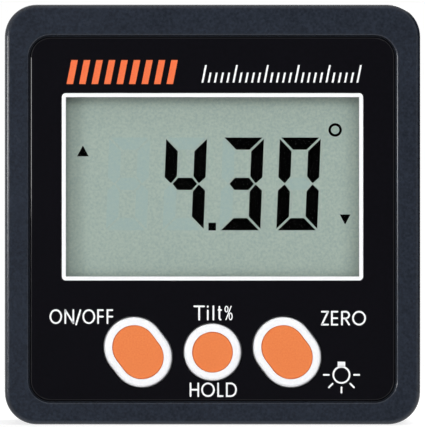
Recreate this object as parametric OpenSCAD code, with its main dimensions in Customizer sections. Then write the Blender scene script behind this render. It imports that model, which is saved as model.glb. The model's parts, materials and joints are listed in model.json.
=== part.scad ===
// Digital angle gauge: a box level with a tilt display, three keys and a grooved
// magnetic base, run by two AAA cells behind a hinged door at the back.
// The face looks along -Y and the base stands on Z = 0. All sizes are millimetres.
// "Depth" is the distance behind the front rim of the case, growing towards the back.

/* [Case] */
// Width of the case across the front
case_w = 57; // [56:0.5:66]
// Height of the case from its base to its top
case_h = 57.6; // [57:0.2:68]
// Depth of the case from its front rim to its back
case_d = 28; // [27.5:0.5:36]
// Corner radius of the case seen from the front
corner_r = 4.4; // [3.6:0.2:6]
// Rounding of the outer edges at the front and the back
edge_r = 0.7; // [0.3:0.1:0.9]
// Thickness of the side walls and the top wall
wall = 2.2; // [2:0.1:2.6]
// Thickness of the base wall
base_t = 3.4; // [3.2:0.1:4]
// Thickness of the wall behind the face panel
front_t = 1.8; // [1.6:0.1:2.2]
// Gap between a piece and the seat that it drops into
seat_gap = 0.1; // [0.06:0.02:0.16]

/* [Front frame and face panel] */
// Width of the frame at the left and right of the face panel
frame_side = 3.3; // [2.8:0.1:4]
// Width of the frame above the face panel
frame_top = 4.25; // [3:0.05:5]
// Width of the frame below the face panel
frame_bottom = 3.05; // [2.8:0.05:3.6]
// Rounding of the inner edge of the frame
frame_round = 0.3; // [0.1:0.05:0.35]
// Corner radius of the recess that holds the face panel
recess_r = 3; // [2:0.2:4]
// Thickness of the face panel
panel_t = 0.6; // [0.5:0.1:0.9]
// How far the face panel lies below the front rim
panel_inset = 0.35; // [0.2:0.05:0.5]
// Rounding of the front edge of the face panel
panel_round = 0.3; // [0.1:0.05:0.4]
// Gap round the face panel
panel_gap = 0.15; // [0.05:0.01:0.2]

/* [Display] */
// Width of the opening over the display
window_w = 40.2; // [36:0.05:41]
// Height of the opening over the display
window_h = 24.55; // [20:0.05:25.6]
// Gap between the key flanges and the display holder
display_gap = 0.6; // [0.4:0.1:1.2]
// Thickness of the clear display window
lens_t = 1; // [0.8:0.1:1.2]
// How far the clear window reaches behind the face panel
lens_lap = 1.1; // [0.9:0.1:1.5]
// How far the opening behind the clear window is wider than the display opening
aperture_lap = 0.5; // [0.3:0.1:0.6]
// Thickness of the two display glasses together
lcd_t = 2.1; // [1.8:0.1:2.4]
// How far the display glass reaches past the opening at left and right
lcd_side = 2.4; // [2.2:0.1:2.8]
// How far the display glass reaches past the opening above and below
lcd_lap = 3.4; // [3.2:0.1:3.6]
// Thickness of the light guide behind the display
light_t = 2.2; // [2:0.1:2.6]
// Thickness of the display holder's side walls
holder_t = 0.8; // [0.6:0.1:1]
// Thickness of the display holder's floor
holder_floor = 0.5; // [0.4:0.1:0.8]
// Thickness of the rubber connector strips
strip_t = 1.8; // [1.6:0.1:2]

/* [Keys] */
// Distance between the centres of neighbouring keys
key_pitch = 10.22; // [10:0.02:11]
// Height of the key centres above the lower edge of the face panel's recess
key_rise = 6.88; // [6.7:0.02:8]
// Radius of the round ends of the two outer keys
key_r = 4.13; // [3.6:0.01:4.3]
// Distance from the middle of an outer key to the centre of its round end
key_stretch = 0.86; // [0.6:0.02:1.4]
// Slope of the outer keys' long axis, below the horizontal
key_slope = 53; // [0:1:90]
// Radius of the round key in the middle
hold_r = 3.91; // [3.5:0.02:4.2]
// Width of the pale rim round each key's cap
rim_w = 1.1; // [0.8:0.02:1.3]
// Rounding of the rim's outer edge
rim_round = 0.45; // [0.2:0.05:0.6]
// How far the keys stand out in front of the rim of the case
key_proud = 0.4; // [0.2:0.05:0.8]
// Gap between a key and the holes that it slides in
key_gap = 0.15; // [0.1:0.01:0.2]
// How far the cap lies below the top of its rim
cap_drop = 0.12; // [0.05:0.01:0.25]
// Thickness of the key caps
cap_t = 1; // [0.8:0.1:1.2]
// Thickness of the flange that keeps a key in the case
flange_t = 0.7; // [0.6:0.1:0.8]
// Gap between neighbouring key flanges
flange_gap = 0.3; // [0.2:0.05:0.5]
// How far a key travels when it is pressed
key_travel = 0.5; // [0.3:0.05:0.6]
// Side of the square switch under each key
switch_w = 6; // [5.6:0.1:6.4]
// Radius of the switch plunger
plunger_r = 1.7; // [1.4:0.1:1.9]

/* [Circuit board] */
// Thickness of the circuit board
board_t = 1.2; // [1:0.1:1.6]
// Gap between the circuit board's edge and the case walls
board_gap = 0.6; // [0.4:0.1:0.9]
// Outer radius of the bosses that carry the circuit board
boss_r = 1.9; // [1.7:0.1:2.1]
// Distance of the upper board bosses from the middle
boss_x = 14; // [8:0.5:16]

/* [Back and batteries] */
// Thickness of the rear cover's plate
cover_t = 2.2; // [2:0.1:2.6]
// Width of the ledge that the rear cover sits on
ledge_w = 0.7; // [0.6:0.05:0.8]
// Diameter of a battery cell
cell_d = 10.5; // [10:0.1:10.6]
// Length of a battery cell over its nub
cell_l = 44.5; // [43.5:0.1:44.6]
// Gap between a battery cell and the trough that it lies in
cell_gap = 0.2; // [0.15:0.01:0.3]
// Length of a battery spring in use
spring_h = 3; // [2.6:0.1:3.4]
// Thickness of the battery contact plates
contact_t = 0.4; // [0.3:0.05:0.5]
// Thickness of the battery compartment's walls and floor
tub_t = 1.1; // [0.9:0.1:1.3]
// Thickness of the battery door
door_t = 1.7; // [1.5:0.1:1.9]
// Gap round the battery door
door_gap = 0.2; // [0.15:0.01:0.3]
// How far the battery door overlaps the rim of its compartment
door_lap = 0.9; // [0.7:0.1:1.1]
// Radius of the hinge lugs on the battery door
lug_r = 0.75; // [0.65:0.05:0.85]
// Radius of the hinge pins at the ends of each lug
pin_r = 0.45; // [0.35:0.05:0.5]
// Running gap between a hinge pin and its hole
pin_gap = 0.05; // [0.02:0.01:0.08]
// Distance of the hinge lugs from the middle of the door
lug_x = 16; // [12:0.5:18]

/* [Screws] */
// Radius of the pillars that take the cover screws
pillar_r = 2.5; // [2.2:0.1:2.8]
// Radius of the cover screws' shank
screw_r = 1; // [0.8:0.05:1.1]
// Length of the cover screws under the head
screw_l = 7; // [5:0.5:8]
// Radius of the board screws' shank
board_screw_r = 0.9; // [0.7:0.05:1]

/* [Magnetic base] */
// Width of the groove's mouth across the base
groove_w = 10; // [8:0.5:11]
// Depth of the groove, whose sides slope at 45 degrees
groove_depth = 3; // [2:0.1:3.6]
// Diameter of a base magnet
magnet_d = 5; // [4:0.1:5.4]
// Thickness of a base magnet
magnet_t = 2.5; // [1.5:0.1:2.6]
// How far a magnet lies above the base plane
magnet_inset = 0.15; // [0.05:0.05:0.3]
// Distance of the magnets from the middle of the base
magnet_x = 16; // [10:0.5:18]

/* [Hidden] */
$fn = 64;

// Colours of the finished pieces
case_black = [0.17, 0.19, 0.23];
panel_black = [0.07, 0.07, 0.09];
clear_grey = [0.75, 0.8, 0.8, 0.4];
lcd_grey = [0.62, 0.68, 0.65];
key_white = [0.95, 0.95, 0.96];
key_orange = [0.93, 0.52, 0.31];
board_green = [0.1, 0.32, 0.2];
part_black = [0.1, 0.1, 0.1];
steel_grey = [0.72, 0.73, 0.75];
cell_grey = [0.35, 0.38, 0.42];

// How far a cutter runs past the face that it cuts
over = 1;
// Y of the front rim: the keys and the back lie equally far from the origin
front_y = (key_proud - case_d) / 2;

// Inside of the case
cavity_x = case_w / 2 - wall;
cavity_top = case_h - wall;
cavity_h = cavity_top - base_t;
cavity_z = base_t + cavity_h / 2;
cavity_r = corner_r - wall;

// Recess in the front, and the panel in it
recess_w = case_w - 2 * frame_side;
recess_h = case_h - frame_top - frame_bottom;
recess_z = frame_bottom + recess_h / 2;

// Depths of the layers, from the front to the circuit board
panel_back = panel_inset + panel_t;
wall_back = panel_back + front_t;
lcd_front = wall_back + seat_gap;
lcd_mid = lcd_front + lcd_t / 2;
lcd_back = lcd_front + lcd_t;
light_back = lcd_back + light_t;
board_front = light_back + holder_floor;
board_back = board_front + board_t;

// Keys: places, half sizes along X and Z, and layers
keys_x = [-key_pitch, 0, key_pitch];
key_reach_x = key_r + key_stretch * cos(key_slope);
key_reach_z = key_r + key_stretch * sin(key_slope);
flange_w = (key_pitch - hold_r - key_reach_x - flange_gap) / 2;
key_z = frame_bottom + key_rise;
key_pocket = cap_t + cap_drop;
cap_gap = 0.03;
cap_bevel = 0.12;
flange_front = wall_back + seat_gap / 2;
flange_back = flange_front + flange_t;
nub_h = 0.1;
plunger_front = flange_back + nub_h;
plunger_sunk = 1.2;
plunger_gap = 0.05;
switch_room = 0.25;
switch_front = flange_back + key_travel + switch_room;
plunger_back = switch_front + plunger_sunk;

// Display: the opening, the glass behind it and its holder
holder_out = seat_gap + holder_t;
window_z = key_z + key_reach_z + flange_w + display_gap + holder_out + lcd_lap + window_h / 2;
lcd_w = window_w + 2 * lcd_side;
lcd_h = window_h + 2 * lcd_lap;
strip_room = strip_t + 8 * seat_gap;
strip_end = 1;
strip_l = window_w - 2 * strip_end;
strip_z = lcd_h / 2 - strip_room / 2;
light_h = lcd_h - 2 * strip_room;
holder_w = lcd_w + 2 * holder_out;
holder_h = lcd_h + 2 * holder_out;
holder_rest = 2;
led_room = 2;
led_w = 1.4;
led_l = 3;
led_t = 1.6;
led_z = 6;
peg_r = 0.6;
peg_in = 4;
peg_x = window_w / 2 - peg_in;
peg_z = light_h / 2 - holder_rest / 2;
peg_spots = [for (x = [-1, 1], z = [-1, 1]) [x * peg_x, window_z + z * peg_z]];

// Circuit board: outline, bosses and screws
board_x = cavity_x - board_gap;
board_bottom = base_t + board_gap;
board_top = cavity_top - board_gap;
boss_gap = 0.4;
lower_boss_x = key_pitch + key_reach_x + flange_w + boss_gap + boss_r;
lower_boss_z = key_z - key_reach_z / 2;
upper_boss_z = window_z + holder_h / 2 + boss_gap + boss_r;
board_spots = [
    for (side = [-1, 1]) each [[side * lower_boss_x, lower_boss_z], [side * boss_x, upper_boss_z]]
];
head_ratio = 1.8;
thread_gap = 0.06;
board_hole_gap = 0.2;
board_screw_l = 3.6;
board_head_r = board_screw_r * head_ratio;
board_head_t = 1.1;

// Chips and the crystal: places from the middle of the board, sizes and legs
leg_pitch = 1.27;
leg_w = 0.57;
leg_t = 0.2;
leg_out = 1;
chip_x = -8;
chip_drop = 8;
chip_w = 8;
chip_h = 10.5;
chip_t = 1.6;
chip_legs = 8;
sensor_x = 9;
sensor_w = 4.4;
sensor_h = 5;
sensor_t = 1.4;
sensor_legs = 4;
crystal_x = 3;
crystal_rise = 11;
crystal_r = 1;
crystal_l = 6;

// Screw pillars in the corners of the case
pillar_in = 1.6;
pillar_x = cavity_x - pillar_in;
pillar_low = base_t + pillar_in;
pillar_high = cavity_top - pillar_in;
pillar_spots = [for (side = [-1, 1], z = [pillar_low, pillar_high]) [side * pillar_x, z]];
head_r = screw_r * head_ratio;
head_t = 1.1;
head_gap = 0.2;
head_front = case_d - head_gap - head_t;

// Rear cover and battery compartment
cover_front = case_d - cover_t;
trough_r = cell_d / 2 + cell_gap;
divider_t = 0.4;
divider_drop = 1.5;
trough_lip = 0.05;
cell_pitch = 2 * trough_r + divider_t;
cell_side = trough_r - trough_lip;
cell_drop = 0.3;
cell_back = cover_front - cell_drop;
cell_depth = cell_back - cell_d / 2;
tub_z = case_h / 2;
tub_l = cell_l + spring_h + 2 * contact_t;
tub_h = cell_pitch + 2 * cell_side;
tub_front = cell_depth - trough_r - tub_t;
upper_z = tub_z + cell_pitch / 2;
lower_z = tub_z - cell_pitch / 2;

// Battery door, its hinge and its latch
door_front = case_d - door_t;
door_w = tub_l + 2 * door_lap;
door_h = tub_h + 2 * door_lap;
door_bottom = tub_z - door_h / 2;
door_top = tub_z + door_h / 2;
door_r = 1;
lug_l = 6;
lug_gap = 0.15;
lug_cover = 0.2;
lug_reach = 0.3;
hinge_in = lug_r + lug_cover;
hinge_drop = hinge_in + lug_reach;
hinge_depth = case_d - hinge_in;
hinge_z = door_bottom - hinge_drop;
hinge_wall = 1.6;
hinge_relief = 0.5;
pin_l = 0.8;
tongue_w = 8;
tongue_l = 5;
tongue_slot = 0.8;
hook_w = 6;
hook_catch = 0.25;
hook_out = door_gap + hook_catch;
hook_in = 0.2;
hook_t = 0.4;
lip_t = door_t - hook_in - hook_t - seat_gap;
nail_w = 7;
nail_h = 1.2;
nail_t = 0.7;
grip_pitch = 1.6;
grip_w = 0.6;
grip_depth = 0.3;
rib_w = 1.2;
rib_gap = 0.2;
rib_end = 3;

// Contact plates in the ends of the compartment, their tails and springs
plate_half = 3.6;
plate_rise = 4.4;
tail_w = 1.6;
tail_gap = 0.1;
tail_end = board_front + board_t / 4;
spring_wire_r = 0.25;
spring_turns = 3.5;
spring_gap = 0.05;

// Magnets beside the groove
land_gap = 1.1;
magnet_y = groove_w / 2 + magnet_d / 2 + land_gap;
magnet_gap = 0.05;
groove_skin = 1.6;
groove_roof = groove_w / 2 - groove_depth;

// Shapes shared by several pieces

// The two ends of a length that is centred on a value
function span(middle, size) = [middle - size / 2, middle + size / 2];

// A box given by its span in X, in depth and in Z
module block(x, depth, z) {
    translate([x[0], front_y + depth[0], z[0]]) cube([x[1] - x[0], depth[1] - depth[0], z[1] - z[0]]);
}

// Extrudes a flat shape drawn in X and Z between two depths
module slab(from, to) {
    translate([0, front_y + to, 0]) rotate([90, 0, 0]) linear_extrude(to - from) children();
}

// Extrudes a section drawn in depth and Z along X, centred
module bar(length) {
    translate([-length / 2, front_y, 0]) rotate([90, 0, 90]) linear_extrude(length) children();
}

// Places a solid whose own Z axis runs along the depth
module along_depth(spot) {
    translate([spot[0], front_y, spot[1]]) rotate([-90, 0, 0]) children();
}

// Places a solid whose own Z axis runs along X
module along_x(x, depth, z) {
    translate([x, front_y + depth, z]) rotate([0, 90, 0]) children();
}

// A round bar along the depth, between two depths
module rod(spot, r, from, to) {
    along_depth(spot) translate([0, 0, from]) cylinder(r = r, h = to - from);
}

// Repeats its children on both sides of the middle, as mirror images
module both_sides() {
    children();
    mirror([1, 0, 0]) children();
}

// A flat rectangle with round corners, centred on a height
module rounded_face(w, h, r, z) {
    translate([0, z]) {
        square([w - 2 * r, h], center = true);
        square([w, h - 2 * r], center = true);
        for (x = [-1, 1], y = [-1, 1]) translate([x * (w / 2 - r), y * (h / 2 - r)]) circle(r);
    }
}

// Runs a section round a rounded rectangle: the section's own X points outwards from the inset line
module round_outline(w, h, r, inset) {
    for (x = [0, 1], y = [0, 1]) mirror([x, 0, 0]) mirror([0, y, 0])
        translate([w / 2 - r, h / 2 - r, 0]) rotate_extrude(angle = 90) translate([r - inset, 0]) children();
    for (turn = [0, 180]) rotate(turn) {
        translate([w / 2 - inset, h / 2 - r, 0]) rotate([90, 0, 0]) linear_extrude(h - 2 * r) children();
        translate([r - w / 2, h / 2 - inset, 0]) rotate([90, 0, 90]) linear_extrude(w - 2 * r) children();
    }
}

// What an edge loses when it is rounded: the corner square less the rounding circle
module edge_waste(r) {
    difference() {
        translate([0, -over]) square([r + over, r + over]);
        translate([0, r]) circle(r);
    }
}

// What an edge loses when it is chamfered
module chamfer_waste(c) {
    polygon([[0, -over], [0, 0], [c, c], [c + over, c], [c + over, -over]]);
}

// Sweeps a half section round a long hole or key with two round ends
module stretched(stretch) {
    if (stretch > 0) {
        translate([-stretch, 0, 0]) rotate([90, 0, 90]) linear_extrude(2 * stretch) {
            children();
            mirror([1, 0]) children();
        }
        for (turn = [0, 180])
            rotate(turn) translate([stretch, 0, 0]) rotate(-90) rotate_extrude(angle = 180) children();
    } else {
        rotate_extrude() children();
    }
}

// The middle key is round, the outer ones are long and slanted
function key_radius(x) = x == 0 ? hold_r : key_r;

// Sweeps a half section, drawn in radius and depth, into the form of one key
module key_form(x) {
    along_depth([x, key_z]) rotate(x == 0 ? 0 : key_slope) stretched(x == 0 ? 0 : key_stretch) children();
}

// Openings for the keys down to a depth
module key_holes(to) {
    for (x = keys_x) key_form(x) square([key_radius(x) + key_gap, to]);
}

// The case

// Block with the outer form of the case, its front and back edges rounded
module case_block() {
    difference() {
        slab(0, case_d) rounded_face(case_w, case_h, corner_r, case_h / 2);
        along_depth([0, case_h / 2]) {
            round_outline(case_w, case_h, corner_r, edge_r) edge_waste(edge_r);
            translate([0, 0, case_d]) mirror([0, 0, 1])
                round_outline(case_w, case_h, corner_r, edge_r) edge_waste(edge_r);
        }
    }
}

// Section of the base groove, or of a skin of equal thickness over it
module groove_section(skin) {
    side = skin * sqrt(2);
    foot = groove_w / 2 + side + over;
    roof = groove_roof + side - skin;
    top = groove_depth + skin;
    translate([case_d / 2, 0]) polygon([[-foot, -over], [-roof, top], [roof, top], [foot, -over]]);
}

// Hollow of the case, with the groove's skin standing up in it
module case_hollow() {
    difference() {
        slab(wall_back, case_d + over) rounded_face(2 * cavity_x, cavity_h, cavity_r, cavity_z);
        bar(2 * case_w) groove_section(groove_skin);
    }
}

// Bosses for the board and pillars for the cover, rooted in the front wall
module case_posts() {
    root = wall_back - front_t / 2;
    for (spot = board_spots) rod(spot, boss_r, root, board_front);
    intersection() {
        slab(root, cover_front) rounded_face(case_w - wall, case_h - wall, corner_r - wall / 2, case_h / 2);
        for (spot = pillar_spots) rod(spot, pillar_r, 0, case_d);
    }
}

// Recess for the face panel, its rounded rim, the window's seat and the openings in the wall
module front_cuts() {
    seat = 2 * (lens_lap + seat_gap);
    aperture = 2 * aperture_lap;
    slab(-over, panel_back) rounded_face(recess_w, recess_h, recess_r, recess_z);
    along_depth([0, recess_z]) round_outline(recess_w, recess_h, recess_r, over)
        translate([over + frame_round, 0]) mirror([1, 0]) edge_waste(frame_round);
    block(span(0, window_w + seat), [0, panel_back + lens_t], span(window_z, window_h + seat));
    block(span(0, window_w + aperture), [0, wall_back + over], span(window_z, window_h + aperture));
    key_holes(wall_back + over);
}

// Seat of the rear cover and pilot holes for the screws
module back_cuts() {
    slab(cover_front, case_d + over)
        rounded_face(2 * (cavity_x + ledge_w), cavity_h + 2 * ledge_w, cavity_r + ledge_w, cavity_z);
    for (spot = board_spots)
        rod(spot, board_screw_r + thread_gap, board_front - board_screw_l, board_front + over);
    for (spot = pillar_spots)
        rod(spot, screw_r + thread_gap, cover_front - screw_l, cover_front + over);
}

// Groove across the base and pockets for the magnets
module base_cuts() {
    bar(2 * case_w) groove_section(0);
    for (side = [-1, 1], end = [-1, 1]) magnet_place(side, end) translate([0, 0, -over])
        cylinder(r = magnet_d / 2 + magnet_gap, h = magnet_inset + magnet_t + over);
}

module main_case() color(case_black) {
    difference() {
        union() {
            difference() {
                case_block();
                case_hollow();
            }
            case_posts();
        }
        front_cuts();
        back_cuts();
        base_cuts();
    }
}

// Face panel: a thin plate with a rounded edge, printed on the front
module face_panel() color(panel_black) {
    panel_w = recess_w - 2 * panel_gap;
    panel_h = recess_h - 2 * panel_gap;
    panel_r = recess_r - panel_gap;
    difference() {
        slab(panel_inset, panel_back) rounded_face(panel_w, panel_h, panel_r, recess_z);
        along_depth([0, recess_z]) translate([0, 0, panel_inset])
            round_outline(panel_w, panel_h, panel_r, panel_round) edge_waste(panel_round);
        block(span(0, window_w), [0, panel_back + over], span(window_z, window_h));
        key_holes(panel_back + over);
    }
}

module display_window() color(clear_grey) {
    block(span(0, window_w + 2 * lens_lap), span(panel_back + lens_t / 2, lens_t),
        span(window_z, window_h + 2 * lens_lap));
}

// The display

// Two bonded glasses: the front one reaches past the back one to meet the connector strips
module lcd_panel() color(lcd_grey) {
    block(span(0, lcd_w), [lcd_front, lcd_mid], span(window_z, lcd_h));
    block(span(0, lcd_w), [lcd_mid, lcd_back], span(window_z, light_h));
}

module lcd_light_guide() color(key_white) {
    block([led_room - lcd_w / 2, lcd_w / 2], [lcd_back, light_back], span(window_z, light_h));
}

// Holder on the board: a box with steps for the glass, the light guide and the strips
module lcd_holder() color(part_black) {
    inner = span(0, lcd_w + 2 * seat_gap);
    floor_hole = [inner[0], lcd_w / 2 - holder_rest];
    difference() {
        block(span(0, holder_w), [lcd_front, board_front], span(window_z, holder_h));
        block(inner, [0, lcd_mid], span(window_z, lcd_h + 2 * seat_gap));
        block(inner, [0, light_back], span(window_z, light_h + 2 * seat_gap));
        block(floor_hole, [0, board_front + over], span(window_z, light_h - 2 * holder_rest));
        for (end = [-1, 1]) block(span(0, strip_l + 2 * seat_gap), [0, board_front + over],
            span(window_z + end * strip_z, strip_t + 2 * seat_gap));
    }
    // Pegs that locate the holder in the board
    for (spot = peg_spots) rod(spot, peg_r, light_back, board_back);
}

module connector_strip(end) color(part_black)
    block(span(0, strip_l), [lcd_mid, board_front], span(window_z + end * strip_z, strip_t));

module upper_connector_strip() connector_strip(1);
module lower_connector_strip() connector_strip(-1);

// Two lamps that shine into the end of the light guide
module backlight_leds() color(key_white) {
    led_x = led_room / 2 - lcd_w / 2;
    for (end = [-1, 1])
        block(span(led_x, led_w), [board_front - led_t, board_front], span(window_z + end * led_z, led_l));
}

// The circuit board and what is soldered to it

module circuit_board() color(board_green) {
    corner_x = pillar_x - pillar_r - boss_gap;
    corner_low = pillar_low + pillar_r + boss_gap;
    corner_high = pillar_high - pillar_r - boss_gap;
    all = [0, case_d];
    difference() {
        block([-board_x, board_x], [board_front, board_back], [board_bottom, board_top]);
        both_sides() {
            block([corner_x, case_w], all, [0, corner_low]);
            block([corner_x, case_w], all, [corner_high, case_h]);
        }
        for (spot = board_spots) rod(spot, board_screw_r + board_hole_gap, 0, case_d);
        for (spot = peg_spots) rod(spot, peg_r + seat_gap, 0, case_d);
        // Slots for the tails of the contact plates
        for (z = [upper_z, lower_z]) block(span((tub_l - contact_t) / 2, contact_t + 2 * tail_gap), all,
            span(z, tail_w + 2 * tail_gap));
    }
}

// A chip on the board with a row of legs along its left and right sides
module legged_chip(x, z, w, h, t, legs) color(part_black) translate([x, 0, z]) {
    block(span(0, w), [board_back + leg_t / 2, board_back + t], span(0, h));
    for (i = [1 : legs]) both_sides()
        block([w / 2 - leg_t, w / 2 + leg_out], [board_back, board_back + leg_t],
            span((i - (legs + 1) / 2) * leg_pitch, leg_w));
}

module controller_chip() legged_chip(chip_x, tub_z - chip_drop, chip_w, chip_h, chip_t, chip_legs);
module tilt_sensor() legged_chip(sensor_x, tub_z, sensor_w, sensor_h, sensor_t, sensor_legs);

module clock_crystal() color(steel_grey)
    along_x(crystal_x, board_back + crystal_r, tub_z + crystal_rise) cylinder(r = crystal_r, h = crystal_l);

// Push switch: a square housing with a bore for its plunger
module push_switch(x) color(part_black) difference() {
    block(span(x, switch_w), [switch_front, board_front], span(key_z, switch_w));
    rod([x, key_z], plunger_r + plunger_gap, 0, plunger_back + key_travel + seat_gap);
}

module on_off_switch() push_switch(keys_x[0]);
module hold_switch() push_switch(keys_x[1]);
module zero_switch() push_switch(keys_x[2]);

module plunger(x) color(part_black) rod([x, key_z], plunger_r, plunger_front, plunger_back);

module on_off_plunger() plunger(keys_x[0]);
module hold_plunger() plunger(keys_x[1]);
module zero_plunger() plunger(keys_x[2]);

// Key: rim, pocket for the cap, flange behind the wall and a nub on the plunger
module key_body(x) color(key_white) {
    r = key_radius(x);
    key_form(x) difference() {
        union() {
            translate([0, -key_proud]) square([r, key_proud + flange_back]);
            translate([0, flange_front]) square([r + flange_w, flange_t]);
        }
        translate([0, -key_proud - over]) square([r - rim_w, key_pocket + over]);
        translate([r - rim_round, -key_proud]) edge_waste(rim_round);
    }
    rod([x, key_z], plunger_r, flange_back - nub_h, plunger_front);
}

module on_off_key() key_body(keys_x[0]);
module hold_key() key_body(keys_x[1]);
module zero_key() key_body(keys_x[2]);

// Cap that fills the pocket of a key, with a fine bevel round its top
module key_cap(x) color(key_orange) {
    r = key_radius(x) - rim_w - cap_gap;
    key_form(x) translate([0, cap_drop - key_proud]) difference() {
        square([r, cap_t]);
        translate([r - cap_bevel, 0]) chamfer_waste(cap_bevel);
    }
}

module on_off_cap() key_cap(keys_x[0]);
module hold_cap() key_cap(keys_x[1]);
module zero_cap() key_cap(keys_x[2]);

// Screw with a flat round head, a cross recess and a pointed tip, along -Z from under its head
module screw(r, length, head_radius, head_height) {
    slot_w = head_radius * 0.3;
    slot_l = head_radius * 1.2;
    slot_depth = head_height * 0.6;
    difference() {
        union() {
            translate([0, 0, r - length]) cylinder(r = r, h = length - r);
            translate([0, 0, -length]) cylinder(r1 = r / 3, r2 = r, h = r);
            cylinder(r = head_radius, h = head_height);
        }
        for (turn = [0, 90]) rotate(turn) translate([0, 0, head_height])
            cube([slot_l, slot_w, 2 * slot_depth], center = true);
    }
}

module board_screws() color(steel_grey) for (spot = board_spots) along_depth(spot)
    translate([0, 0, board_back]) screw(board_screw_r, board_screw_l, board_head_r, board_head_t);

module cover_screws() color(steel_grey) for (spot = pillar_spots) along_depth(spot)
    translate([0, 0, head_front]) screw(screw_r, screw_l, head_r, head_t);

// The back

// Hollow for the two cells: a trough for each, open towards the door
module cell_hollow() {
    length = span(0, tub_l);
    back = case_d + over;
    for (z = [upper_z, lower_z]) {
        along_x(-tub_l / 2, cell_depth, z) cylinder(r = trough_r, h = tub_l);
        block(length, [cell_depth, back], span(z, 2 * cell_side));
        // Slot for the tail of a contact plate
        block([tub_l / 2 - contact_t - tail_gap, tub_l / 2], [tub_front - over, cell_depth],
            span(z, tail_w + 2 * tail_gap));
    }
    block(length, [cell_depth + divider_drop, back], span(tub_z, tub_h));
    // Slot for the plate that joins both cells
    block([-tub_l / 2, contact_t + seat_gap - tub_l / 2], [cell_depth - plate_half - seat_gap, back],
        span(tub_z, cell_pitch + 2 * (plate_half + seat_gap)));
}

// Notches for the lugs of the door, with a bore for the pins across each
module hinge_seats() {
    notch_l = lug_l + 2 * lug_gap;
    bore_l = notch_l + 2 * pin_l;
    notch_r = lug_r + lug_gap;
    for (x = [-lug_x, lug_x]) {
        block(span(x, notch_l), [hinge_depth - notch_r, case_d + over], [hinge_z - notch_r, door_bottom]);
        along_x(x - bore_l / 2, hinge_depth, hinge_z) cylinder(r = pin_r + pin_gap, h = bore_l);
    }
}

// Beds that carry the hinge seats behind the cover's plate
module hinge_beds() {
    for (x = [-lug_x, lug_x])
        block(span(x, lug_l + 2 * hinge_wall), [cover_front - hinge_wall, cover_front],
            [hinge_z - lug_r - hinge_wall, tub_z - tub_h / 2]);
}

// Bevel along the lower edge of the door's seat, which lets the door swing past it
module seat_bevel() {
    edge = door_bottom - door_gap;
    bar(door_w + 2 * door_gap) polygon([
        [case_d + over, edge - hinge_relief - over],
        [case_d - hinge_relief - door_r, edge + door_r],
        [case_d + over, edge + door_r]
    ]);
}

// Seat of the door, and the slot that its hook catches in
module door_seat() {
    slab(door_front - seat_gap, case_d + over)
        rounded_face(door_w + 2 * door_gap, door_h + 2 * door_gap, door_r + door_gap, tub_z);
    block(span(0, hook_w + 2 * door_gap), [door_front - seat_gap, case_d - lip_t],
        [door_top, door_top + hook_out + door_gap]);
}

module rear_cover() color(case_black) {
    grow = ledge_w - seat_gap;
    difference() {
        union() {
            slab(cover_front, case_d)
                rounded_face(2 * (cavity_x + grow), cavity_h + 2 * grow, cavity_r + grow, cavity_z);
            block(span(0, tub_l + 2 * tub_t), [tub_front, cover_front], span(tub_z, tub_h + 2 * tub_t));
            hinge_beds();
        }
        cell_hollow();
        door_seat();
        hinge_seats();
        seat_bevel();
        for (spot = pillar_spots) {
            rod(spot, screw_r + head_gap, 0, case_d + over);
            rod(spot, head_r + head_gap, head_front, case_d + over);
        }
    }
}

// Hinge lugs along the lower edge of the door, each with a pin at both ends
module door_lugs() {
    pins_l = lug_l + 2 * (lug_gap + pin_l - seat_gap);
    for (x = [-lug_x, lug_x]) {
        along_x(x - lug_l / 2, hinge_depth, hinge_z) cylinder(r = lug_r, h = lug_l);
        block(span(x, lug_l), span(hinge_depth, lug_r), [hinge_z, door_bottom + lug_r]);
        along_x(x - pins_l / 2, hinge_depth, hinge_z) cylinder(r = pin_r, h = pins_l);
    }
}

module battery_door() color(case_black) {
    back = case_d + over;
    difference() {
        slab(door_front, case_d) rounded_face(door_w, door_h, door_r, tub_z);
        // Slots that free the latch tongue, a nail notch and grip grooves
        both_sides() block([tongue_w / 2, tongue_w / 2 + tongue_slot], [0, back],
            [door_top - tongue_l, case_h]);
        block(span(0, nail_w), [case_d - nail_t, back], [door_top - nail_h, case_h]);
        for (i = [1 : 3]) block(span(0, nail_w), [case_d - grip_depth, back],
            span(door_top - nail_h - i * grip_pitch, grip_w));
    }
    block(span(0, hook_w), [door_front + hook_in, door_front + hook_in + hook_t],
        [door_top - hook_t, door_top + hook_out]);
    // Ribs that keep the cells in their troughs
    for (x = [-lug_x, lug_x]) block(span(x, rib_w), [cell_back + rib_gap, door_front + rib_gap],
        [lower_z - rib_end, upper_z + rib_end]);
    door_lugs();
}

// The batteries and their contacts

// Cell along X with its nub against the contact at the right, or at the left when flipped
module cell(z, flip) color(cell_grey) {
    nub_r = 1.9;
    nub_l = 0.9;
    shoulder = 0.5;
    body_l = cell_l - nub_l;
    r = cell_d / 2;
    mirror([flip ? 1 : 0, 0, 0]) along_x(tub_l / 2 - contact_t - cell_l, cell_depth, z) rotate_extrude()
        polygon([
            [0, 0], [r - shoulder, 0], [r, shoulder], [r, body_l - shoulder],
            [r - shoulder, body_l], [nub_r, body_l], [nub_r, cell_l], [0, cell_l]
        ]);
}

module upper_cell() cell(upper_z, false);
module lower_cell() cell(lower_z, true);

// Sheet against the right end wall, over a span of depth and of height
module end_sheet(depth, z) block([tub_l / 2 - contact_t, tub_l / 2], depth, z);

plate_depth = [cell_depth - plate_half, cell_depth + plate_rise];

// Plate that faces one cell, with a tail that runs into the board
module tailed_contact(z) color(steel_grey) {
    end_sheet(plate_depth, span(z, 2 * plate_half));
    end_sheet([tail_end, cell_depth], span(z, tail_w));
}

module positive_contact() tailed_contact(upper_z);
module negative_contact() tailed_contact(lower_z);

module bridge_contact() color(steel_grey)
    mirror([1, 0, 0]) end_sheet(plate_depth, span(tub_z, cell_pitch + 2 * plate_half));

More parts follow.
